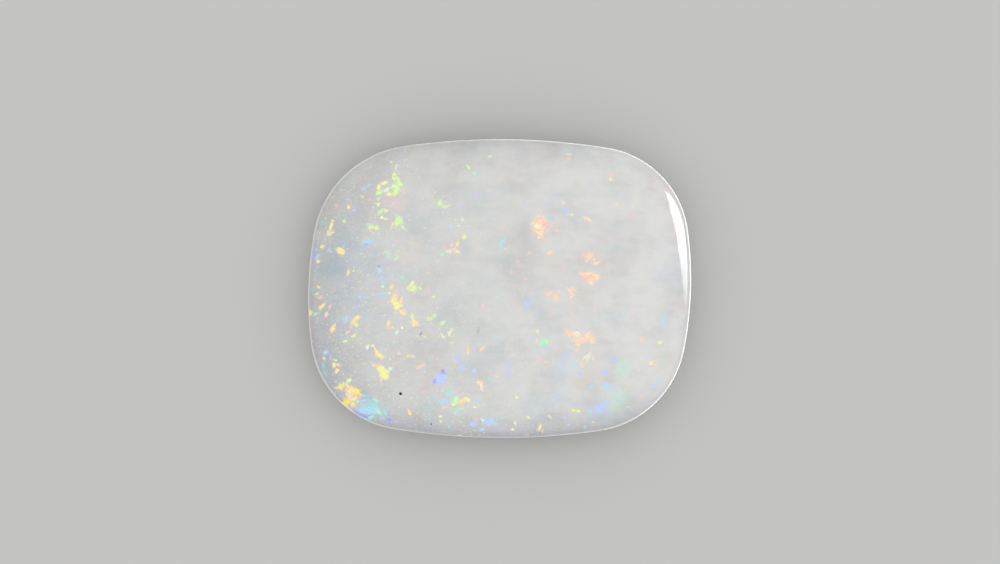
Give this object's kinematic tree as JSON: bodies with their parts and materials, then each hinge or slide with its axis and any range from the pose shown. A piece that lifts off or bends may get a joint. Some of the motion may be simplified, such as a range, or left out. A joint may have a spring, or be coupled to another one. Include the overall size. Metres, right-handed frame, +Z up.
{
  "type": "polished opal cabochon",
  "caption": "Cushion-shaped white opal cabochon: one solid stone with a low polished dome, thin girdle, bevelled underside and flat back.",
  "frame": {"origin": "on the flat back, under the middle of the stone", "axes": "+X along the stone's length, +Y across its width, +Z up through the dome"},
  "size_m": [0.018, 0.014, 0.0036],
  "materials": {
    "white_opal": "polished"
  },
  "bodies": {
    "root": {"opal_cabochon": "white_opal"}
  },
  "joints": []
}
